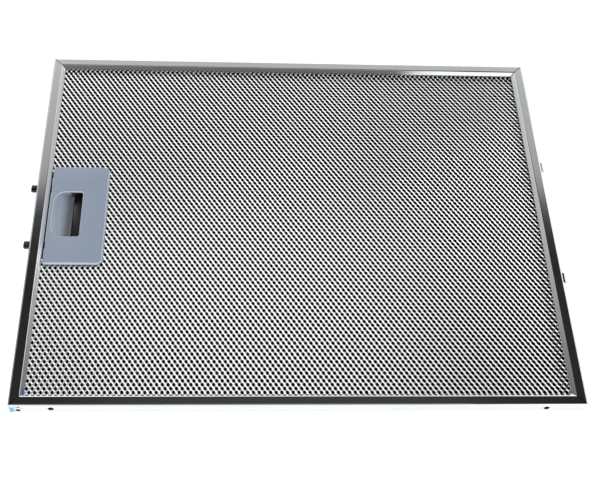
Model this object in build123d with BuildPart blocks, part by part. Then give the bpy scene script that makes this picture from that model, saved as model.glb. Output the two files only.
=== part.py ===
# Cooker hood grease filter: a folded aluminium frame, a stack of expanded sheets and a sprung latch handle.
# The filter lies flat on its rear face, with its finger side up. X runs along the long rails, Y across them.
import os
from math import hypot
from build123d import *

# Frame strip, formed to a channel and folded at the corners
frame_width = 320.0
frame_depth = 260.0
frame_height = 8.0
strip_thickness = 0.5
bend_radius = 1.0
flange_width = 5.7
lip_reach = 7.9
lip_drop = 1.9
mitre_gap = 0.4

# Drain holes in the front wall
drain_hole_diameter = 3.2
drain_hole_spacing = 274.0
drain_hole_height = 4.3

# Lap at the front left corner, where the strip's ends meet, and the blind rivet that closes it
lap_length = 9.0
lap_height = 4.6
rivet_inset = 5.5
rivet_height = 4.0
rivet_head_diameter = 4.4
rivet_head_height = 0.6
rivet_head_bevel = 0.35
rivet_shank_diameter = 2.4
rivet_bore_diameter = 1.5
rivet_bore_depth = 0.9
rivet_clearance = 0.03

# Lugs lanced out of the right wall
lug_spacing = 86.0
lug_width = 6.8
lug_reach = 2.9
lug_height = 4.8
lug_turn_down = 1.5
lug_bend_radius = 0.9
lug_side_gap = 0.3

# Sheet stack: two outer expanded sheets with foil layers between them
outer_sheet_thickness = 0.8
foil_layers = 3
layer_gap = 0.02
sheet_edge_gap = 0.6
diamond_pitch_x = 36.5
diamond_pitch_y = 56.0
strand_crest = 1.2
strand_foot = 6.0
window_margin = 1.5
foil_pitch_x = 74.0
foil_pitch_y = 52.0
foil_strand = 38.0

# Handle plates, front and back
plate_width = 34.7
plate_length = 73.6
plate_thickness = 1.68
plate_gap = 1.3
plate_corner_radius = 4.0
plate_edge_bevel = 0.8
handle_floor = 0.9

# Finger scoop in the front plate
scoop_inset = 2.1
scoop_width = 17.4
scoop_length = 33.8
scoop_depth = 4.8
scoop_rim_step = 0.5
scoop_rim_bevel = 0.35
scoop_ramp_run = 9.7
scoop_ramp_bulge = 0.55
scoop_draft = 0.5
scoop_corner_radius = 7.5
scoop_small_radius = 1.5
scoop_wall = 0.9
scoop_mouth_run = 6.4
scoop_mouth_lean = 2.6

# Tray behind the plate, which goes through the cut-out in the sheets
tray_length = 61.0
tray_inset = 1.9
tray_wall = 1.2
cutout_gap = 0.4
peg_inset = 3.3
peg_width = 3.0
peg_clearance = 0.05
boss_wall = 1.0
rib_width = 2.4

# Latch fork with its two tongues
tongue_spacing = 42.6
tongue_width = 4.75
tongue_thickness = 2.0
tongue_reach = 4.05
tongue_round = 0.8
tongue_edge_bevel = 0.3
latch_travel = 4.5
slide_gap = 0.3
crossbar_width = 3.0
crossbar_setback = 0.7
finger_wall_length = 31.0
finger_floor_width = 6.2
finger_floor_thickness = 0.8
stop_width = 1.2
stop_gap = 0.4125

# Bow spring behind the latch
spring_span = 36.0
spring_thickness = 0.3
spring_height = 3.0
spring_gap = 0.05

# Levels of the stack, worked out from the lip's lowest corner
lip_run = lip_reach - flange_width
lip_corner_drop = lip_drop + strip_thickness * lip_run / hypot(lip_run, lip_drop)
stack_top = frame_height - lip_corner_drop - layer_gap
stack_bottom = lip_corner_drop + layer_gap
front_mesh_base = stack_top - outer_sheet_thickness
foil_space = front_mesh_base - stack_bottom - outer_sheet_thickness
foil_thickness = foil_space / foil_layers - layer_gap * (foil_layers + 1) / foil_layers

# Plan of the sheets and of the clear window inside the lips
sheet_width = frame_width - 2 * (strip_thickness + sheet_edge_gap)
sheet_depth = frame_depth - 2 * (strip_thickness + sheet_edge_gap)
window_width = frame_width - 2 * (lip_reach + window_margin)
window_depth = frame_depth - 2 * (lip_reach + window_margin)

# Places of the handle along X, from the left wall inwards
left_wall = -frame_width / 2
plate_left = left_wall + lip_reach + plate_gap
plate_right = plate_left + plate_width
tray_right = plate_right - tray_inset
tray_width = tray_right - plate_left
tray_centre = (plate_left + tray_right) / 2
scoop_left = plate_left + scoop_inset
scoop_right = scoop_left + scoop_width
crossbar_left = scoop_right + crossbar_setback
crossbar_right = crossbar_left + crossbar_width
spring_end = tray_right - tray_wall

# Heights of the handle
plate_base = stack_top + layer_gap
plate_top = plate_base + plate_thickness
back_top = stack_bottom - layer_gap
back_base = back_top - plate_thickness
tray_floor = back_base + handle_floor
scoop_floor = plate_top - scoop_depth
tongue_base = (frame_height - tongue_thickness) / 2
tongue_top = tongue_base + tongue_thickness
finger_base = tray_floor + slide_gap
finger_top = plate_base - slide_gap
finger_middle = (finger_base + finger_top) / 2

os.makedirs("parts", exist_ok=True)


def finish(part, name):
    part.label = name
    export_step(part, f"parts/{name}.step")


# Frame: the channel section is swept round the mitred rectangle, then slit, slotted and lanced
rail_start = Plane(origin=(0, -frame_depth / 2, 0), x_dir=(0, 1, 0), z_dir=(1, 0, 0))
with BuildPart() as frame:
    with BuildLine() as strip_path:
        Polyline(
            (0, -frame_depth / 2),
            (frame_width / 2, -frame_depth / 2),
            (frame_width / 2, frame_depth / 2),
            (-frame_width / 2, frame_depth / 2),
            (-frame_width / 2, -frame_depth / 2),
            (0, -frame_depth / 2),
        )
    with BuildSketch(rail_start) as channel:
        with BuildLine():
            Polyline(
                (lip_reach, frame_height - lip_drop),
                (flange_width, frame_height),
                (0, frame_height),
                (0, 0),
                (flange_width, 0),
                (lip_reach, lip_drop),
            )
            offset(amount=strip_thickness, side=Side.LEFT, kind=Kind.INTERSECTION)
        make_face()
        outer_bends = channel.vertices().group_by(Axis.Y)
        fillet(outer_bends[0] + outer_bends[-1], radius=bend_radius)
    sweep(path=strip_path.wire(), transition=Transition.RIGHT)

    slit_start = (strip_thickness + bend_radius / 2) * 2**0.5
    slit_end = (lip_reach + mitre_gap) * 2**0.5
    for level, direction in ((frame_height, -1), (0, 1)):
        with BuildSketch(Plane.XY.offset(level)):
            for x_side in (-1, 1):
                for y_side in (-1, 1):
                    corner = (x_side * frame_width / 2, y_side * frame_depth / 2)
                    turn = 45 if x_side == y_side else -45
                    reach = (slit_start + slit_end) / 2 / 2**0.5
                    with Locations((corner[0] - x_side * reach, corner[1] - y_side * reach)):
                        Rectangle(slit_end - slit_start, mitre_gap, rotation=turn)
        extrude(amount=direction * (lip_corner_drop + strip_thickness), mode=Mode.SUBTRACT)

    rivet_place = (left_wall + rivet_inset, rivet_height)
    with BuildSketch(Plane.XZ.offset(frame_depth / 2 - strip_thickness)):
        with Locations((left_wall + strip_thickness + lap_length / 2, rivet_height)):
            Rectangle(lap_length, lap_height)
    extrude(amount=-strip_thickness)
    with BuildSketch(Plane.XZ.offset(frame_depth / 2)):
        with Locations((0, drain_hole_height)):
            with GridLocations(drain_hole_spacing, 0, 2, 1):
                Circle(drain_hole_diameter / 2)
        with Locations(rivet_place):
            Circle(rivet_shank_diameter / 2 + rivet_clearance)
    extrude(amount=-2 * strip_thickness, mode=Mode.SUBTRACT)

    with BuildSketch(Plane.YZ.offset(left_wall)):
        with Locations((0, frame_height / 2)):
            with GridLocations(tongue_spacing, 0, 2, 1):
                Rectangle(tongue_width + 2 * slide_gap, tongue_thickness + 2 * slide_gap)
    extrude(amount=2 * strip_thickness, mode=Mode.SUBTRACT)

    lug_window = lug_reach + lug_turn_down - strip_thickness
    with BuildSketch(Plane.YZ.offset(frame_width / 2)):
        with Locations((0, lug_height - strip_thickness - lug_window / 2)):
            with GridLocations(lug_spacing, 0, 2, 1):
                Rectangle(lug_width + 2 * lug_side_gap, lug_window)
    extrude(amount=-2 * strip_thickness, mode=Mode.SUBTRACT)
    for lug_centre in (-lug_spacing / 2, lug_spacing / 2):
        with BuildSketch(Plane.XZ.offset(-lug_centre)):
            with BuildLine():
                FilletPolyline(
                    (frame_width / 2 - strip_thickness, lug_height),
                    (frame_width / 2 + lug_reach, lug_height),
                    (frame_width / 2 + lug_reach, lug_height - lug_turn_down),
                    radius=lug_bend_radius,
                )
                offset(amount=strip_thickness, side=Side.RIGHT)
            make_face()
        extrude(amount=lug_width / 2, both=True)
finish(frame.part, "frame")

# Blind rivet: a flat head outside the wall, a shank through the lap, and the hollow its broken pin has left
with BuildPart() as corner_rivet:
    head_seat = Plane.XZ.offset(frame_depth / 2 + layer_gap)
    head_face = head_seat.offset(rivet_head_height)
    with BuildSketch(head_seat):
        with Locations(rivet_place):
            Circle(rivet_head_diameter / 2)
    extrude(amount=rivet_head_height)
    chamfer(corner_rivet.edges().group_by(Axis.Y)[0], length=rivet_head_bevel)
    with BuildSketch(head_seat):
        with Locations(rivet_place):
            Circle(rivet_shank_diameter / 2)
    extrude(amount=-2 * strip_thickness - layer_gap)
    with BuildSketch(head_face):
        with Locations(rivet_place):
            Circle(rivet_bore_diameter / 2)
    extrude(amount=-rivet_bore_depth, mode=Mode.SUBTRACT)
finish(corner_rivet.part, "corner_rivet")


# Sheets: each is a rectangle with a notch for the handle, open to the left edge
def notched_sheet(base, thickness):
    with BuildPart() as sheet:
        with BuildSketch(Plane.XY.offset(base)):
            Rectangle(sheet_width, sheet_depth)
            notch_right = tray_right + cutout_gap
            notch_left = -sheet_width / 2
            with Locations(((notch_left + notch_right) / 2, 0)):
                Rectangle(notch_right - notch_left, tray_length + 2 * cutout_gap, mode=Mode.SUBTRACT)
        extrude(amount=thickness)
    return sheet.part


# One diamond opening, wider on its outer side, so that the strands between are ridges
def diamond_cutter(pitch_x, pitch_y, foot, crest, thickness):
    with BuildPart() as cutter:
        for level, strand in ((0, foot), (thickness, crest)):
            half_x = (pitch_x - strand) / 2
            half_y = half_x * pitch_y / pitch_x
            with BuildSketch(Plane.XY.offset(level)):
                Polygon((half_x, 0), (0, half_y), (-half_x, 0), (0, -half_y))
        loft(ruled=True)
    return cutter.part


# Centres of a staggered lattice that covers the window, shifted by a share of its pitch
def lattice_centres(pitch_x, pitch_y, shift):
    columns = int(window_width / pitch_x / 2) + 2
    rows = int(window_depth / pitch_y) + 2
    for row in range(-rows, rows + 1):
        for column in range(-columns, columns + 1):
            yield ((column + row % 2 / 2 + shift) * pitch_x, (row / 2 + shift) * pitch_y)


# Outer sheets: openings cut off at the window's edges and round the handle. The rear sheet is the front one
# turned over.
ridged_diamond = diamond_cutter(
    diamond_pitch_x, diamond_pitch_y, strand_foot, strand_crest, outer_sheet_thickness
)
with BuildPart() as front_gaps:
    with Locations(*[(x, y, front_mesh_base) for x, y in lattice_centres(diamond_pitch_x, diamond_pitch_y, 0)]):
        add(ridged_diamond)
    with BuildSketch(Plane.XY.offset(front_mesh_base)):
        Rectangle(window_width, window_depth)
        with Locations(((plate_left + plate_right) / 2, 0)):
            Rectangle(plate_width + 2 * window_margin, plate_length + 2 * window_margin, mode=Mode.SUBTRACT)
    extrude(amount=outer_sheet_thickness, mode=Mode.INTERSECT)

with BuildPart() as front_mesh:
    add(notched_sheet(front_mesh_base, outer_sheet_thickness))
    add(front_gaps.part, mode=Mode.SUBTRACT)
finish(front_mesh.part, "front_mesh")

with BuildPart() as rear_mesh:
    mirror(front_mesh.part, about=Plane.XY.offset(frame_height / 2))
finish(rear_mesh.part, "rear_mesh")

# Foil layers between the outer sheets: each layer's openings lie behind the solid foil of the next one
foil_half_x = (foil_pitch_x - foil_strand) / 2
foil_half_y = foil_half_x * foil_pitch_y / foil_pitch_x
foil_diamond = diamond_cutter(foil_pitch_x, foil_pitch_y, foil_strand, foil_strand, foil_thickness)
for layer in range(foil_layers):
    foil_base = stack_bottom + outer_sheet_thickness + layer_gap + layer * (foil_thickness + layer_gap)
    foil_centres = []
    for x, y in lattice_centres(foil_pitch_x, foil_pitch_y, layer / 4):
        inside = abs(x) + foil_half_x < window_width / 2 and abs(y) + foil_half_y < window_depth / 2
        past_handle = x - foil_half_x > plate_right or abs(y) - foil_half_y > plate_length / 2
        if inside and past_handle:
            foil_centres.append((x, y, foil_base))
    with BuildPart() as foil:
        add(notched_sheet(foil_base, foil_thickness))
        with Locations(*foil_centres):
            add(foil_diamond, mode=Mode.SUBTRACT)
    finish(foil.part, f"inner_foil_{layer + 1}")


# Outline that both halves of the handle share: square towards the frame, rounded towards the mesh
def plate_outline():
    with BuildSketch(mode=Mode.PRIVATE) as outline:
        with Locations(((plate_left + plate_right) / 2, 0)):
            Rectangle(plate_width, plate_length)
        fillet(outline.vertices().group_by(Axis.X)[-1], radius=plate_corner_radius)
    return outline.sketch


# Outline of the scoop at one level: round corners towards the frame, tight ones towards the latch
def scoop_outline(left, length, left_radius):
    with BuildSketch(mode=Mode.PRIVATE) as outline:
        with Locations(((left + scoop_right) / 2, 0)):
            Rectangle(scoop_right - left, length)
        fillet(outline.vertices().group_by(Axis.X)[0], radius=left_radius)
        fillet(outline.vertices().group_by(Axis.X)[-1], radius=scoop_small_radius)
    return outline.sketch


# Scoop as a solid: a steep-sided pocket whose floor is a bulging ramp that falls to the right
def scoop_body():
    with BuildPart() as body:
        for level, inset in ((scoop_floor, scoop_draft), (plate_top, 0)):
            with BuildSketch(Plane.XY.offset(level)):
                left_radius = scoop_corner_radius - inset
                add(scoop_outline(scoop_left + inset, scoop_length - 2 * inset, left_radius))
        loft(ruled=True)
        ramp_top = (scoop_left, plate_top - scoop_rim_step)
        ramp_foot = (scoop_left + scoop_ramp_run, scoop_floor)
        ramp_middle = (
            (ramp_top[0] + ramp_foot[0]) / 2 + scoop_ramp_bulge * scoop_depth / scoop_ramp_run,
            (ramp_top[1] + ramp_foot[1]) / 2 + scoop_ramp_bulge,
        )
        with BuildSketch(Plane.XZ.offset(-scoop_length / 2)):
            with BuildLine():
                ThreePointArc(ramp_top, ramp_middle, ramp_foot)
                Polyline(
                    ramp_foot,
                    (scoop_right, scoop_floor),
                    (scoop_right, plate_top),
                    (scoop_left, plate_top),
                    ramp_top,
                )
            make_face()
        extrude(amount=scoop_length, mode=Mode.INTERSECT)
    return body.part


# Front plate: the scoop hangs below it, ends in a leaning mouth and opens into the tray
with BuildPart() as handle_plate:
    with BuildSketch(Plane.XY.offset(plate_base)):
        add(plate_outline())
    extrude(amount=plate_thickness)
    top_edges = handle_plate.faces().sort_by(Axis.Z)[-1].edges()
    chamfer(top_edges.sort_by(Axis.X)[1:], length=plate_edge_bevel)
    with BuildSketch(Plane.XZ.offset(-scoop_length / 2 - scoop_wall)):
        Polygon(
            (scoop_left - scoop_wall, plate_base),
            (scoop_left + scoop_ramp_run - scoop_wall, scoop_floor - scoop_wall),
            (scoop_right - scoop_mouth_run, scoop_floor - scoop_wall),
            (scoop_right - scoop_mouth_run + scoop_mouth_lean, plate_base),
            align=None,
        )
    extrude(amount=scoop_length + 2 * scoop_wall)
    with BuildSketch(Plane.XY.offset(tongue_base - slide_gap)):
        with Locations((tray_centre, 0)):
            with GridLocations(0, tongue_spacing, 1, 2):
                Rectangle(tray_width, tongue_width + 2 * slide_gap)
    extrude(amount=tongue_thickness + 2 * slide_gap, mode=Mode.SUBTRACT)
    add(scoop_body(), mode=Mode.SUBTRACT)
    scoop_rim = handle_plate.faces().sort_by(Axis.Z)[-1].inner_wires()[0].edges()
    chamfer(scoop_rim, length=scoop_rim_bevel)
    with BuildSketch(Plane.XY.offset(plate_base)):
        with Locations((tray_centre, 0)):
            with GridLocations(tray_width - 2 * peg_inset, tray_length - 2 * peg_inset, 2, 2):
                Rectangle(peg_width, peg_width)
    extrude(amount=-(plate_base - tray_floor - slide_gap))
    rib_run = tray_width - 2 * tray_wall - 2 * slide_gap
    with BuildSketch(Plane.XY.offset(plate_base)):
        with Locations((tray_centre, 0)):
            with GridLocations(0, tongue_spacing, 1, 2):
                Rectangle(rib_run, rib_width)
    extrude(amount=-(plate_base - tongue_top - slide_gap))
    stop_side = (tongue_spacing - tongue_width - stop_width) / 2 - stop_gap
    with BuildSketch(Plane.XY.offset(plate_base)):
        with Locations((crossbar_left - slide_gap - stop_width / 2, 0)):
            with GridLocations(0, 2 * stop_side, 1, 2):
                Rectangle(stop_width, stop_width)
    extrude(amount=-(plate_base - tongue_base - slide_gap))
finish(handle_plate.part, "handle_plate")

# Back half: rear plate and tray in one, with guide ribs that end in travel stops, and sockets for the pegs
with BuildPart() as handle_back:
    with BuildSketch(Plane.XY.offset(back_base)):
        add(plate_outline())
    extrude(amount=plate_thickness)
    rear_edges = handle_back.faces().sort_by(Axis.Z)[0].edges()
    chamfer(rear_edges.sort_by(Axis.X)[1:], length=plate_edge_bevel)
    with BuildSketch(Plane.XY.offset(tray_floor)):
        with Locations((tray_centre, 0)):
            Rectangle(tray_width, tray_length)
    extrude(amount=plate_base - layer_gap - tray_floor)
    with BuildSketch(Plane.XY.offset(tray_floor)):
        with Locations((tray_centre, 0)):
            Rectangle(tray_width - 2 * tray_wall, tray_length - 2 * tray_wall)
    extrude(amount=plate_base - tray_floor, mode=Mode.SUBTRACT)
    with BuildSketch(Plane.XY.offset(tray_floor)):
        with Locations((tray_centre, 0)):
            with GridLocations(tray_width - 2 * peg_inset, tray_length - 2 * peg_inset, 2, 2):
                Rectangle(peg_width + 2 * boss_wall, peg_width + 2 * boss_wall)
    extrude(amount=plate_base - layer_gap - tray_floor)
    with BuildSketch(Plane.XY.offset(tray_floor)):
        with Locations((tray_centre, 0)):
            with GridLocations(0, tongue_spacing, 1, 2):
                Rectangle(tray_width - 2 * tray_wall, rib_width)
    extrude(amount=tongue_base - slide_gap - tray_floor)
    travel_stop = crossbar_right + latch_travel + slide_gap
    with BuildSketch(Plane.XY.offset(tray_floor)):
        with Locations(((travel_stop + spring_end) / 2, 0)):
            with GridLocations(0, tongue_spacing, 1, 2):
                Rectangle(spring_end - travel_stop, rib_width)
    extrude(amount=tongue_top - tray_floor)
    with BuildSketch(Plane.XY.offset(tray_floor)):
        with Locations((tray_centre, 0)):
            with GridLocations(tray_width - 2 * peg_inset, tray_length - 2 * peg_inset, 2, 2):
                Rectangle(peg_width + 2 * peg_clearance, peg_width + 2 * peg_clearance)
    extrude(amount=plate_base - tray_floor, mode=Mode.SUBTRACT)
    with BuildSketch(Plane.YZ.offset(plate_left)):
        with Locations((0, frame_height / 2)):
            with GridLocations(tongue_spacing, 0, 2, 1):
                Rectangle(tongue_width + 2 * slide_gap, tongue_thickness + 2 * slide_gap)
    extrude(amount=tray_wall, mode=Mode.SUBTRACT)
finish(handle_back.part, "handle_back")

# Latch fork: two arms that end in the tongues, a cross-bar and the finger wall with its floor
with BuildPart() as latch_fork:
    tongue_tip = left_wall - tongue_reach
    fork_width = tongue_spacing + tongue_width
    with BuildSketch(Plane.XY.offset(tongue_base)):
        with Locations(((tongue_tip + crossbar_right) / 2, 0)):
            with GridLocations(0, tongue_spacing, 1, 2):
                Rectangle(crossbar_right - tongue_tip, tongue_width)
        with Locations(((crossbar_left + crossbar_right) / 2, 0)):
            Rectangle(crossbar_width, fork_width)
    extrude(amount=tongue_thickness)
    tip_edges = latch_fork.edges().filter_by(Axis.Z).group_by(Axis.X)[0]
    fillet(tip_edges, radius=tongue_round)
    tip_faces = latch_fork.faces().filter_by(Axis.X).sort_by(Axis.X)[:2]
    chamfer([edge for face in tip_faces for edge in face.edges().filter_by(Axis.Y)], length=tongue_edge_bevel)
    with BuildSketch(Plane.XZ.offset(-finger_wall_length / 2)):
        Polygon(
            (crossbar_left - finger_floor_width, finger_base),
            (crossbar_right, finger_base),
            (crossbar_right, finger_top),
            (crossbar_left, finger_top),
            (crossbar_left, finger_base + finger_floor_thickness),
            (crossbar_left - finger_floor_width, finger_base + finger_floor_thickness),
            align=None,
        )
    extrude(amount=finger_wall_length)
finish(latch_fork.part, "latch_fork")

# Bow spring: a strip of spring steel whose middle bears on the cross-bar and whose ends bear on the tray's wall
with BuildPart() as latch_spring:
    with BuildSketch(Plane.XY.offset(finger_middle - spring_height / 2)):
        with BuildLine():
            ThreePointArc(
                (spring_end - spring_gap - spring_thickness, -spring_span / 2),
                (crossbar_right + spring_gap, 0),
                (spring_end - spring_gap - spring_thickness, spring_span / 2),
            )
            offset(amount=spring_thickness, side=Side.RIGHT)
        make_face()
    extrude(amount=spring_height)
finish(latch_spring.part, "latch_spring")
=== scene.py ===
# Cooker hood grease filter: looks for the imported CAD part, in metres, in the part's own frame.
import math

import bmesh
import bpy
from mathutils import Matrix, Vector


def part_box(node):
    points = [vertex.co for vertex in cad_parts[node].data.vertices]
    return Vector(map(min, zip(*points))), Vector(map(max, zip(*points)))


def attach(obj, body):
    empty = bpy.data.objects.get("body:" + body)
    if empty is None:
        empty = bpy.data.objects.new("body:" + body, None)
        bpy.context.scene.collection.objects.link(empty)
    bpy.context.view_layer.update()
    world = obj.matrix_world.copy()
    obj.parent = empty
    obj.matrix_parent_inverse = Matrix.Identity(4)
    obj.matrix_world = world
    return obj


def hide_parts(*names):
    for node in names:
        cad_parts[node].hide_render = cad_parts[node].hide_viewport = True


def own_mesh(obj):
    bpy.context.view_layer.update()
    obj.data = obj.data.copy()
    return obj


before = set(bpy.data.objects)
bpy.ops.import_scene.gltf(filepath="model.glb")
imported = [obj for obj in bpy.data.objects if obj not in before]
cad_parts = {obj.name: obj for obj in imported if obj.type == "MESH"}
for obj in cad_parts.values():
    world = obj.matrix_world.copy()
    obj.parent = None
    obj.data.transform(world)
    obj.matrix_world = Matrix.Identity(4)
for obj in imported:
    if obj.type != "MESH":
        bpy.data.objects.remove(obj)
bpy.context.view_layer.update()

# Frame: a strip of bright aluminium, rolled to a channel and folded round the sheets at four mitred corners.
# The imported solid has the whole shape, so it stays and gets the metal's finish: fine rolling lines that run
# along each rail, and a slight haze where hands and cloths have rubbed it.
rolling_line_mm = 0.5
rolling_line_squeeze = 0.02
haze_patch_mm = 28.0
rail_half_difference = 0.030


def linear(hex_colour):
    channels = [int(hex_colour[i:i + 2], 16) / 255 for i in (1, 3, 5)]
    return tuple(c / 12.92 if c <= 0.04045 else ((c + 0.055) / 1.055) ** 2.4 for c in channels) + (1.0,)


def set_inputs(tree, node, inputs):
    for name, value in inputs.items():
        if isinstance(value, bpy.types.NodeSocket):
            tree.links.new(value, node.inputs[name])
        else:
            node.inputs[name].default_value = value


def add_node(tree, kind, settings, inputs):
    node = tree.nodes.new(kind)
    for name, value in settings.items():
        setattr(node, name, value)
    set_inputs(tree, node, inputs)
    return node


def object_place(tree):
    return add_node(tree, "ShaderNodeTexCoord", {}, {}).outputs["Object"]


def split(tree, value):
    return add_node(tree, "ShaderNodeSeparateXYZ", {}, {"Vector": value}).outputs


def number(tree, operation, *values):
    return add_node(tree, "ShaderNodeMath", {"operation": operation}, dict(enumerate(values))).outputs[0]


def vector(tree, operation, *values):
    node = add_node(tree, "ShaderNodeVectorMath", {"operation": operation}, dict(enumerate(values)))
    return node.outputs["Value" if operation in ("LENGTH", "DOT_PRODUCT") else "Vector"]


def blend(tree, share, first, second, how="MIX"):
    # Sockets 6 and 7 are the two colours, and output 2 is the blended one.
    settings = {"data_type": "RGBA", "blend_type": how}
    return add_node(tree, "ShaderNodeMix", settings, {"Factor": share, 6: first, 7: second}).outputs[2]


def noise(tree, place, patch_mm, detail):
    settings = {"Vector": place, "Scale": 1000 / patch_mm, "Detail": detail}
    return add_node(tree, "ShaderNodeTexNoise", {}, settings).outputs["Fac"]


def map_range(tree, value, start, end, low=0.0, high=1.0, shape="LINEAR"):
    return add_node(
        tree, "ShaderNodeMapRange", {"interpolation_type": shape},
        {"Value": value, "From Min": start, "From Max": end, "To Min": low, "To Max": high},
    ).outputs[0]


def fade(tree, value, start, end):
    return map_range(tree, value, start, end, shape="SMOOTHSTEP")


def bump(tree, height, strength, distance):
    return add_node(
        tree, "ShaderNodeBump", {}, {"Height": height, "Strength": strength, "Distance": distance}
    ).outputs[0]


def within(tree, share, limits):
    # Keeps the share only where every value is on the right side of its limit.
    for value, test, limit in limits:
        share = number(tree, "MULTIPLY", share, number(tree, test, value, limit))
    return share


def new_material(name):
    material = bpy.data.materials.new(name)
    material.use_nodes = True
    return material, material.node_tree, material.node_tree.nodes["Principled BSDF"]


def coat(node, material):
    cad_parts[node].data.materials.clear()
    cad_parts[node].data.materials.append(material)


# Rolled bright aluminium: nearly a mirror, with reflections drawn out a little along the rolling lines. The lines
# are about 0.1 mm apart on the strip and are drawn coarser here so that they show.
rolled_aluminium, tree, shader = new_material("Rolled bright aluminium")
place = object_place(tree)
axes = split(tree, place)
reach_x = number(tree, "ABSOLUTE", axes["X"])
reach_y = number(tree, "ADD", number(tree, "ABSOLUTE", axes["Y"]), rail_half_difference)
on_long_rail = number(tree, "GREATER_THAN", reach_y, reach_x)
along_x = vector(tree, "MULTIPLY", place, (rolling_line_squeeze, 1, 1))
along_y = vector(tree, "MULTIPLY", place, (1, rolling_line_squeeze, 1))
rail_place = add_node(
    tree, "ShaderNodeMix", {"data_type": "VECTOR"}, {"Factor": on_long_rail, 4: along_y, 5: along_x}
).outputs[1]
lines = add_node(
    tree, "ShaderNodeTexNoise", {},
    {"Vector": rail_place, "Scale": 1000 / rolling_line_mm, "Detail": 2.0, "Roughness": 0.6},
).outputs["Fac"]
haze = noise(tree, place, haze_patch_mm, detail=3.0)
set_inputs(tree, shader, {
    "Base Color": blend(tree, haze, linear("#dcdfe2"), linear("#e9ebec")),
    "Metallic": 1.0,
    "Roughness": map_range(tree, haze, 0.3, 0.7, low=0.05, high=0.09),
    "Normal": bump(tree, lines, strength=0.12, distance=0.00002),
})
coat("frame", rolled_aluminium)

# Corner rivet: a blind rivet closes the lap where the strip's ends meet, at the front left corner. The packed solid
# stays. Its head is bright, and its hollow is painted near-black: painted shade in the bore and on the ring round
# it.
rivet_low, rivet_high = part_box("corner_rivet")
rivet_x, rivet_z = (rivet_low.x + rivet_high.x) / 2, (rivet_low.z + rivet_high.z) / 2
hollow_radius = 0.0013
rivet_aluminium, tree, shader = new_material("Blind rivet aluminium")
offset = vector(tree, "SUBTRACT", object_place(tree), (rivet_x, 0, rivet_z))
radius = vector(tree, "LENGTH", vector(tree, "MULTIPLY", offset, (1, 0, 1)))
# Painted shade: inside this radius the bore and the ring round it are painted near-black.
painted_bore_shade = number(tree, "LESS_THAN", radius, hollow_radius)
set_inputs(tree, shader, {
    "Base Color": blend(tree, painted_bore_shade, linear("#e2e4e6"), linear("#080606")),
    "Metallic": 1.0,
    "Roughness": 0.22,
})
coat("corner_rivet", rivet_aluminium)

# Film scraps: torn bits of the blue film that protected the strip. One is left on the front wall beside the rivet,
# one on the left lip near that corner and a crumb on the mesh.
film_wall_y = -0.13003
crumb_z = 0.00572
dark_film_y, pale_film_y = -0.1245, -0.1295
wall_scrap = [
    (x, film_wall_y, z) for x, z in (
        (-0.1595, 0.0067), (-0.1590, 0.0030), (-0.1597, 0.0008), (-0.1577, 0.0006), (-0.1571, 0.0018),
        (-0.1562, 0.0014), (-0.1571, 0.0038), (-0.1563, 0.0066), (-0.1579, 0.0056),
    )
]
lip_scrap = [
    (-0.15342, -0.1222, 0.00727), (-0.15226, -0.1224, 0.00627), (-0.15222, -0.1204, 0.00623),
    (-0.15262, -0.1186, 0.00658), (-0.15322, -0.1190, 0.00710),
]
mesh_crumb = [(x, y, crumb_z) for x, y in ((-0.0312, 0.0972), (-0.0300, 0.0970), (-0.0303, 0.0983))]
film_points = []
film_faces = []
for scrap in (wall_scrap, lip_scrap, mesh_crumb):
    film_faces.append(tuple(range(len(film_points), len(film_points) + len(scrap))))
    film_points += scrap
film_mesh = bpy.data.meshes.new("film_scraps")
film_mesh.from_pydata(film_points, [], film_faces)
film = bpy.data.objects.new("film_scraps", film_mesh)
bpy.context.scene.collection.objects.link(film)
# Blue film: thin, glossy polythene, a paler cyan on the front wall than on the lip and the mesh.
blue_film, tree, shader = new_material("Blue polythene film")
pale_share = map_range(tree, split(tree, object_place(tree))["Y"], dark_film_y, pale_film_y)
set_inputs(tree, shader, {
    "Base Color": blend(tree, pale_share, linear("#2b5f98"), linear("#55cdf2")),
    "Roughness": 0.3,
})
film_mesh.materials.append(blue_film)
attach(film, "filter")

# Outer sheets, front and rear: aluminium slit and drawn out to some ten thousand small diamonds. Drawing out
# twists every strand, so each knuckle slopes the same way, and the two families of strands face different
# ways: one throws the light back, the other stays dark. The rear sheet is the same one turned over.
mesh_pitch_x = 0.00315
mesh_pitch_y = 0.00483
knuckle_half_x = 0.000555
knuckle_half_y = 0.001135
waist_x = 0.000686
waist_y = 0.0008415
strand_lift = 0.000274
strand_twist = 0.0000867
front_low, front_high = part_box("front_mesh")
rear_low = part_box("rear_mesh")[0]
strand_depth = front_high.z - front_low.z
mesh_columns = 99
mesh_rows = 53
handle_cut_x = -0.1182
handle_cut_y = 0.0320
seam_width = 0.00001
strain_grain_mm = 0.8


def knuckle_cell():
    # One knuckle with the two strands that leave it upwards, each narrowest at its waist and coming to a keel below.
    # Cells laid side by side close up to a whole sheet.
    a, b, lift, twist = knuckle_half_x, knuckle_half_y, strand_lift, strand_twist
    half_x, half_y = mesh_pitch_x / 2, mesh_pitch_y / 2
    keel = lift - strand_depth
    points = [
        (-a, 0, lift), (0, -b, 0), (a, 0, -lift), (0, b, 0),
        (half_x - waist_x, waist_y, -twist), (half_x, half_y - b, 0), (half_x - a, half_y, lift),
        (waist_x, half_y - waist_y, twist), (half_x / 2, half_y / 2, keel),
        (-waist_x, half_y - waist_y, -twist), (a - half_x, half_y, -lift), (-half_x, half_y - b, 0),
        (waist_x - half_x, waist_y, twist), (-half_x / 2, half_y / 2, keel),
    ]
    faces = [
        (0, 1, 2, 3), (3, 2, 4, 7), (7, 4, 5, 6), (4, 2, 8), (5, 4, 8), (7, 6, 8), (3, 7, 8),
        (3, 9, 12, 0), (9, 10, 11, 12), (9, 3, 13), (10, 9, 13), (12, 11, 13), (0, 12, 13),
    ]
    mesh = bpy.data.meshes.new("knuckle_cell")
    mesh.from_pydata(points, [], faces)
    return bpy.data.objects.new("knuckle_cell", mesh)


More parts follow.
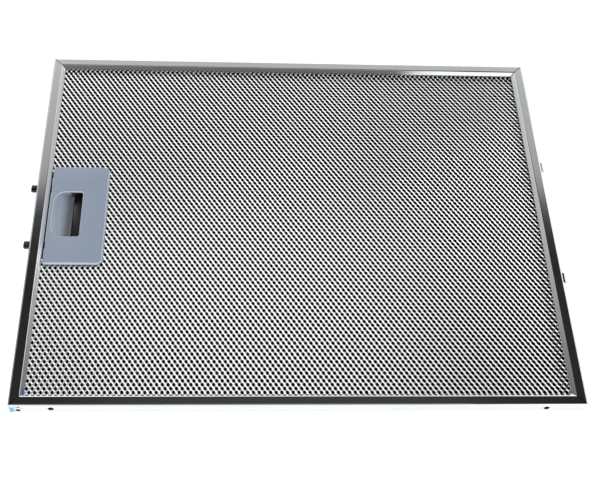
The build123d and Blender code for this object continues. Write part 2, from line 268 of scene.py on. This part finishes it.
# Bright expanded aluminium: the strands keep the strip's roll finish, a little duller where they are twisted.
expanded_aluminium, tree, shader = new_material("Bright expanded aluminium")
strain = noise(tree, object_place(tree), strain_grain_mm, detail=1.0)
set_inputs(tree, shader, {
    "Base Color": blend(tree, strain, linear("#eef0f1"), linear("#f8f8f8")),
    "Metallic": 1.0,
    "Roughness": map_range(tree, strain, 0.3, 0.7, low=0.16, high=0.3),
})

# The tree lays cells on two interleaved grids, leaves out those in the handle's cut-out and closes the seams.
sheet_tree = bpy.data.node_groups.new("Expanded sheet", "GeometryNodeTree")
sheet_inputs = {}
for name, kind in (
    ("Knuckle Cell", "NodeSocketObject"), ("Pitch X", "NodeSocketFloat"), ("Pitch Y", "NodeSocketFloat"),
    ("Columns", "NodeSocketInt"), ("Rows", "NodeSocketInt"), ("Handle Edge", "NodeSocketFloat"),
    ("Handle Half Length", "NodeSocketFloat"), ("Level", "NodeSocketFloat"), ("Turn", "NodeSocketFloat"),
    ("Metal", "NodeSocketMaterial"),
):
    sheet_inputs[name] = sheet_tree.interface.new_socket(name=name, in_out="INPUT", socket_type=kind).identifier
sheet_tree.interface.new_socket(name="Sheet", in_out="OUTPUT", socket_type="NodeSocketGeometry")
sizes = add_node(sheet_tree, "NodeGroupInput", {}, {}).outputs
knuckles = add_node(sheet_tree, "GeometryNodeJoinGeometry", {}, {})
for drop in (0, 1):
    columns = number(sheet_tree, "SUBTRACT", sizes["Columns"], drop)
    rows = number(sheet_tree, "SUBTRACT", sizes["Rows"], drop)
    column_gaps = number(sheet_tree, "SUBTRACT", columns, 1.0)
    row_gaps = number(sheet_tree, "SUBTRACT", rows, 1.0)
    grid = add_node(sheet_tree, "GeometryNodeMeshGrid", {}, {
        "Size X": number(sheet_tree, "MULTIPLY", column_gaps, sizes["Pitch X"]),
        "Size Y": number(sheet_tree, "MULTIPLY", row_gaps, sizes["Pitch Y"]),
        "Vertices X": columns,
        "Vertices Y": rows,
    })
    sheet_tree.links.new(grid.outputs["Mesh"], knuckles.inputs[0])
spot = split(sheet_tree, add_node(sheet_tree, "GeometryNodeInputPosition", {}, {}).outputs[0])
left_of_edge = number(sheet_tree, "LESS_THAN", spot["X"], sizes["Handle Edge"])
in_cutout = within(
    sheet_tree, left_of_edge,
    [(number(sheet_tree, "ABSOLUTE", spot["Y"]), "LESS_THAN", sizes["Handle Half Length"])],
)
kept = add_node(
    sheet_tree, "GeometryNodeDeleteGeometry", {"domain": "POINT"},
    {"Geometry": knuckles.outputs[0], "Selection": in_cutout},
).outputs[0]
cell = add_node(sheet_tree, "GeometryNodeObjectInfo", {}, {"Object": sizes["Knuckle Cell"], "As Instance": True})
laid = add_node(
    sheet_tree, "GeometryNodeInstanceOnPoints", {}, {"Points": kept, "Instance": cell.outputs["Geometry"]}
).outputs[0]
whole = add_node(sheet_tree, "GeometryNodeRealizeInstances", {}, {"Geometry": laid}).outputs[0]
closed = add_node(
    sheet_tree, "GeometryNodeMergeByDistance", {}, {"Geometry": whole, "Distance": seam_width}
).outputs[0]
lift_up = add_node(sheet_tree, "ShaderNodeCombineXYZ", {}, {"Z": sizes["Level"]}).outputs[0]
turn_over = add_node(sheet_tree, "ShaderNodeCombineXYZ", {}, {"X": sizes["Turn"]}).outputs[0]
set_down = add_node(
    sheet_tree, "GeometryNodeTransform", {}, {"Geometry": closed, "Translation": lift_up, "Rotation": turn_over}
).outputs[0]
coated = add_node(
    sheet_tree, "GeometryNodeSetMaterial", {}, {"Geometry": set_down, "Material": sizes["Metal"]}
).outputs[0]
add_node(sheet_tree, "NodeGroupOutput", {}, {"Sheet": coated})

cell_object = knuckle_cell()
for name, node, level, turn in (
    ("front_sheet", "front_mesh", front_high.z - strand_lift, 0.0),
    ("rear_sheet", "rear_mesh", rear_low.z + strand_lift, math.pi),
):
    carrier = bpy.data.objects.new(name + "_carrier", bpy.data.meshes.new(name + "_carrier"))
    bpy.context.scene.collection.objects.link(carrier)
    modifier = carrier.modifiers.new("Expanded sheet", "NODES")
    modifier.node_group = sheet_tree
    for input_name, value in (
        ("Knuckle Cell", cell_object), ("Pitch X", mesh_pitch_x), ("Pitch Y", mesh_pitch_y),
        ("Columns", mesh_columns), ("Rows", mesh_rows), ("Handle Edge", handle_cut_x),
        ("Handle Half Length", handle_cut_y), ("Level", level), ("Turn", turn), ("Metal", expanded_aluminium),
    ):
        modifier[sheet_inputs[input_name]] = value
    depsgraph = bpy.context.evaluated_depsgraph_get()
    sheet_mesh = bpy.data.meshes.new_from_object(carrier.evaluated_get(depsgraph))
    bpy.data.objects.remove(carrier)
    sheet = bpy.data.objects.new(name, sheet_mesh)
    bpy.context.scene.collection.objects.link(sheet)
    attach(sheet, "filter")
    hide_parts(node)
bpy.data.objects.remove(cell_object)

# Inner layers: three thinner foils between the outer sheets, which catch the grease. Little light gets to them,
# so through the openings they read almost black.
# Expanded foil: dull, dark with the shade of the layers and with a fine crumpled grain.
crumple_mm = 2.6
dark_foil, tree, shader = new_material("Shaded aluminium foil")
crumple = add_node(
    tree, "ShaderNodeTexVoronoi", {}, {"Vector": object_place(tree), "Scale": 1000 / crumple_mm}
).outputs["Distance"]
set_inputs(tree, shader, {
    "Base Color": blend(tree, crumple, linear("#0e0e0f"), linear("#19191a")),
    "Metallic": 1.0,
    "Roughness": 0.5,
    "Normal": bump(tree, crumple, strength=0.5, distance=0.0002),
})
for node in ("inner_foil_1", "inner_foil_2", "inner_foil_3"):
    coat(node, dark_foil)

# Handle: two grey mouldings pegged together through the cut-out in the sheets. The front one has the finger
# scoop, the rear one the latch's tray. Their edges are rounded, as a mould leaves them, and their faces are finely
# spark-eroded.
moulded_edge = 0.00035
spark_grain_mm = 0.45
flow_patch_mm = 40.0
scoop_low_x, scoop_high_x, scoop_half_y = -0.1490, -0.1312, 0.0171
painted_shade_top, painted_shade_bottom = 0.0058, 0.0026
wall_shade_from_x, wall_shade_full_x = -0.1405, -0.1378
wall_facing_up = 0.4
rim_low = 0.0065
rim_flat_up, rim_sloped_up = 0.95, 0.82
tray_low_x, tray_high_x, tray_half_y, tray_skin_z = -0.1500, -0.1200, 0.0293, 0.0012
weld_distance = 0.000002
flat_angle, bevel_angle, sharp_angle = math.radians(1.0), math.radians(30), math.radians(32)

# Moulded ABS: satin, blue-grey, with a fine eroded grain. The grain is about 0.1 mm and is drawn coarser to show.
# The deep end of the scoop is painted darker and greyer, and the inside of the tray near-black: painted shade.
abs_plastics = {}
for name, painted_scoop in (("Moulded grey ABS, greasy tray", False), ("Moulded grey ABS, soiled scoop", True)):
    plastic, tree, shader = new_material(name)
    place = object_place(tree)
    axes = split(tree, place)
    across = number(tree, "ABSOLUTE", axes["Y"])
    grain = noise(tree, place, spark_grain_mm, detail=2.0)
    flow = noise(tree, place, flow_patch_mm, detail=1.0)
    tint = blend(tree, flow, linear("#94a1b4"), linear("#9aa6b8"))
    if painted_scoop:
        scoop_sides = [(axes["X"], "LESS_THAN", scoop_high_x), (across, "LESS_THAN", scoop_half_y)]
        # Painted shade: the scoop is painted darker and greyer the deeper it goes.
        depth = fade(tree, axes["Z"], painted_shade_top, painted_shade_bottom)
        depth = within(tree, depth, [(axes["X"], "GREATER_THAN", scoop_low_x)] + scoop_sides)
        tint = blend(tree, depth, tint, linear("#626466"))
        # The walls of that end are painted blackest, up to the rim: painted shade.
        facing = add_node(tree, "ShaderNodeNewGeometry", {}, {}).outputs["Normal"]
        facing_up = split(tree, facing)["Z"]
        painted_wall_shade = fade(tree, axes["X"], wall_shade_from_x, wall_shade_full_x)
        painted_wall_shade = within(tree, painted_wall_shade, scoop_sides + [(facing_up, "LESS_THAN", wall_facing_up)])
        tint = blend(tree, painted_wall_shade, tint, linear("#2c2a2a"))
        # Its rims get a painted highlight: faces near the top that slope like the bevels do are painted paler.
        sloped = fade(tree, facing_up, rim_flat_up, rim_sloped_up)
        painted_rim_highlight = within(tree, sloped, [(axes["Z"], "GREATER_THAN", rim_low)])
        tint = blend(tree, painted_rim_highlight, tint, linear("#c6d2e0"))
    else:
        # Painted shade: the inside of the tray, above its skin, is painted near-black.
        inside = number(tree, "GREATER_THAN", axes["Z"], tray_skin_z)
        painted_tray_shade = within(tree, inside, [
            (axes["X"], "GREATER_THAN", tray_low_x), (axes["X"], "LESS_THAN", tray_high_x),
            (across, "LESS_THAN", tray_half_y),
        ])
        tint = blend(tree, painted_tray_shade, tint, linear("#1c1b1b"))
    set_inputs(tree, shader, {
        "Base Color": tint,
        "Roughness": map_range(tree, grain, 0.0, 1.0, low=0.3, high=0.44),
        "IOR": 1.53,
        "Normal": bump(tree, grain, strength=0.08, distance=0.00005),
    })
    abs_plastics[painted_scoop] = plastic


def rounded_copy(node, name, edge_radius, material):
    # The node's own shape with its loose triangles joined up, its edges rounded and its faces shaded smooth.
    work = bmesh.new()
    work.from_mesh(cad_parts[node].data)
    bmesh.ops.remove_doubles(work, verts=work.verts, dist=weld_distance)
    bmesh.ops.dissolve_limit(work, angle_limit=flat_angle, verts=work.verts, edges=work.edges)
    mesh = bpy.data.meshes.new(name)
    work.to_mesh(mesh)
    work.free()
    mesh.materials.clear()
    mesh.materials.append(material)
    rough = bpy.data.objects.new(name + "_rough", mesh)
    bpy.context.scene.collection.objects.link(rough)
    bevel = rough.modifiers.new("Rounded edges", "BEVEL")
    bevel.width = edge_radius
    bevel.segments = 2
    bevel.limit_method = "ANGLE"
    bevel.angle_limit = bevel_angle
    depsgraph = bpy.context.evaluated_depsgraph_get()
    finished = bpy.data.meshes.new_from_object(rough.evaluated_get(depsgraph))
    bpy.data.objects.remove(rough)
    finished.shade_smooth()
    finished.set_sharp_from_angle(angle=sharp_angle)
    piece = bpy.data.objects.new(name, finished)
    bpy.context.scene.collection.objects.link(piece)
    return piece


for node, name, painted_scoop in (("handle_plate", "handle_front", True), ("handle_back", "handle_rear", False)):
    half = rounded_copy(node, name, moulded_edge, abs_plastics[painted_scoop])
    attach(half, "filter")
    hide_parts(node)

# Latch: a steel fork whose two tongues stand out of the left wall. A finger in the scoop draws it to the right.
# Its edges are broken.
latch_edge = 0.00018
zinc_cloud_mm = 1.6
shaded_end_from_x, shaded_end_full_x = -0.1390, -0.1330
shaded_end_dulling = 0.3

# Zinc-plated steel: greyer than the aluminium, with cloudy patches from the bath. Its end under the scoop is painted
# dark as painted shade, and made rougher there.
zinc_steel, tree, shader = new_material("Zinc-plated steel")
place = object_place(tree)
cloud = noise(tree, place, zinc_cloud_mm, detail=3.0)
# Painted shade: the end under the scoop darkens towards the right.
painted_end_shade = fade(tree, split(tree, place)["X"], shaded_end_from_x, shaded_end_full_x)
zinc = blend(tree, cloud, linear("#3a3a3c"), linear("#646466"))
gloss = map_range(tree, cloud, 0.0, 1.0, low=0.08, high=0.2)
set_inputs(tree, shader, {
    "Base Color": blend(tree, painted_end_shade, zinc, linear("#343333")),
    "Metallic": 1.0,
    "Roughness": number(tree, "MULTIPLY_ADD", painted_end_shade, shaded_end_dulling, gloss),
})
fork = rounded_copy("latch_fork", "latch", latch_edge, zinc_steel)
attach(fork, "latch")
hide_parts("latch_fork")

# Bow spring: a strip of blued spring steel, sprung between the latch's cross-bar and the wall of the tray. The real
# spring flattens towards that wall as the latch is drawn in; here it keeps one shape, on a mesh of its own.
spring_edge = 0.00006
temper_patch_mm = 5.0
blued_steel, tree, shader = new_material("Blued spring steel")
temper = noise(tree, object_place(tree), temper_patch_mm, detail=2.0)
set_inputs(tree, shader, {
    "Base Color": blend(tree, temper, linear("#4a4d57"), linear("#6d7078")),
    "Metallic": 1.0,
    "Roughness": 0.28,
})
spring = rounded_copy("latch_spring", "bow_spring", spring_edge, blued_steel)
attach(spring, "filter")
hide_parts("latch_spring")
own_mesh(spring)

# Table top: a plain white surface under the filter, which keeps the soft shadow round the frame. It shows white to
# the eye. In the metal only its part in front of the filter is bright: a fit to the photo that no real table has.
table_half = 3.0
table_glow = 0.60
bright_front_y, bright_front_fade = -0.135, 0.02
table = bpy.data.objects.new("table_top", bpy.data.meshes.new("table_top"))
table.data.from_pydata(
    [(-table_half, -table_half, 0), (table_half, -table_half, 0), (table_half, table_half, 0),
     (-table_half, table_half, 0)],
    [], [(0, 1, 2, 3)],
)
bpy.context.scene.collection.objects.link(table)
white_top, tree, shader = new_material("Matt white laminate")
ray = add_node(tree, "ShaderNodeLightPath", {}, {}).outputs
across = split(tree, object_place(tree))["Y"]
in_front = fade(tree, across, bright_front_y + bright_front_fade, bright_front_y)
mirrored = number(tree, "MULTIPLY", ray["Is Glossy Ray"], in_front)
seen = number(tree, "MAXIMUM", ray["Is Camera Ray"], mirrored)
set_inputs(tree, shader, {
    "Base Color": linear("#e8e8e8"),
    "Roughness": 0.9,
    "Emission Color": (1, 1, 1, 1),
    "Emission Strength": number(tree, "MULTIPLY", seen, table_glow),
})
table.data.materials.append(white_top)

# Studio: what the bright metal mirrors, fitted to the photo. A white card behind the table leans a little to one
# side, is greyer towards the sides and dark overhead, and a bright band stands in front. The eye sees plain white.
# Levels are pairs of a share of the way (from level to overhead, or from front to back) and a brightness there.
card_lean = (0.044, 0, 0.999)
card_levels = (
    (0.0, 1.6), (0.36, 1.6), (0.44, 1.0), (0.50, 0.58), (0.555, 0.42), (0.568, 0.07), (0.59, 0.025),
    (0.675, 0.025), (0.69, 0.06), (1.0, 0.06),
)
front_levels = (
    (0.0, 0.9), (0.30, 0.9), (0.33, 2.4), (0.43, 2.4), (0.47, 0.3), (0.56, 0.2), (0.62, 0.1), (0.66, 0.03),
    (1.0, 0.03),
)
side_levels = ((0.0, 0.12), (0.745, 0.12), (0.80, 0.33), (0.854, 0.43), (0.92, 1.0), (1.0, 1.0))
card_blend = 0.15
surround = bpy.data.worlds.new("Studio")
bpy.context.scene.world = surround
surround.use_nodes = True
tree = surround.node_tree
facing = add_node(tree, "ShaderNodeTexCoord", {}, {}).outputs["Generated"]
leant_up = number(tree, "ARCSINE", vector(tree, "DOT_PRODUCT", facing, card_lean))
upward = map_range(tree, leant_up, 0.0, math.pi / 2)
level_facing = vector(tree, "NORMALIZE", vector(tree, "MULTIPLY", facing, (1, 1, 0)))
backward = map_range(tree, split(tree, level_facing)["Y"], -1.0, 1.0)
light_shares = []
for way, levels in ((upward, card_levels), (upward, front_levels), (backward, side_levels)):
    ramp = add_node(tree, "ShaderNodeValToRGB", {}, {"Fac": way})
    while len(ramp.color_ramp.elements) < len(levels):
        ramp.color_ramp.elements.new(0.5)
    for element, (position, level) in zip(ramp.color_ramp.elements, levels):
        element.position = position
        element.color = (level, level, level, 1)
    light_shares.append(ramp.outputs["Color"])
card_light, front_light, side_share = light_shares
behind = blend(tree, 1.0, card_light, side_share, how="MULTIPLY")
turned_back = fade(tree, split(tree, facing)["Y"], -card_blend, card_blend)
studio = blend(tree, turned_back, front_light, behind)
ray = add_node(tree, "ShaderNodeLightPath", {}, {}).outputs
set_inputs(tree, tree.nodes["Background"], {
    "Color": blend(tree, ray["Is Camera Ray"], studio, (1, 1, 1, 1)),
    "Strength": 1.0,
})

# Lamps: two wide soft ones above, a strong one to the left and a weak one overhead. Three smaller ones stand at the
# right, one in front and two towards the back. Each has its place, turn in degrees, width, depth and watts.
for name, place, turn, width, depth, power in (
    ("Overhead light", (-0.12, -0.115, 1.2), (0, 0, 0), 0.96, 0.67, 0.85),
    ("Left light", (-1.1, -0.115, 1.2), (0, 0, 0), 1.0, 0.67, 5.4),
    ("Right front light", (0.67, -0.75, 0.95), (42, 0, 40), 0.6, 0.6, 1.3),
    ("Right back light", (0.76, 0.48, 0.61), (55.0, 0, 128.0), 0.5, 0.40, 0.75),
    ("Right side light", (1.034, 0.448, 0.27), (77.0, 0, 127.0), 0.62, 0.20, 0.62),
):
    light = bpy.data.lights.new(name, "AREA")
    light.shape = "RECTANGLE"
    light.size = width
    light.size_y = depth
    light.energy = power
    lamp = bpy.data.objects.new(name, light)
    lamp.location = place
    lamp.rotation_euler = [math.radians(a) for a in turn]
    bpy.context.scene.collection.objects.link(lamp)

# Camera: fitted to the four upper corners of the frame in the photograph.
camera_data = bpy.data.cameras.new("Camera")
camera_data.sensor_width = 36.0
camera_data.lens = 65.87
camera = bpy.data.objects.new("Camera", camera_data)
camera.location = (-0.03912, -0.40278, 0.55132)
camera.rotation_euler = (math.radians(35.274), math.radians(-3.128), math.radians(-1.686))
bpy.context.scene.collection.objects.link(camera)
bpy.context.scene.camera = camera
bpy.context.scene.view_settings.view_transform = "Standard"
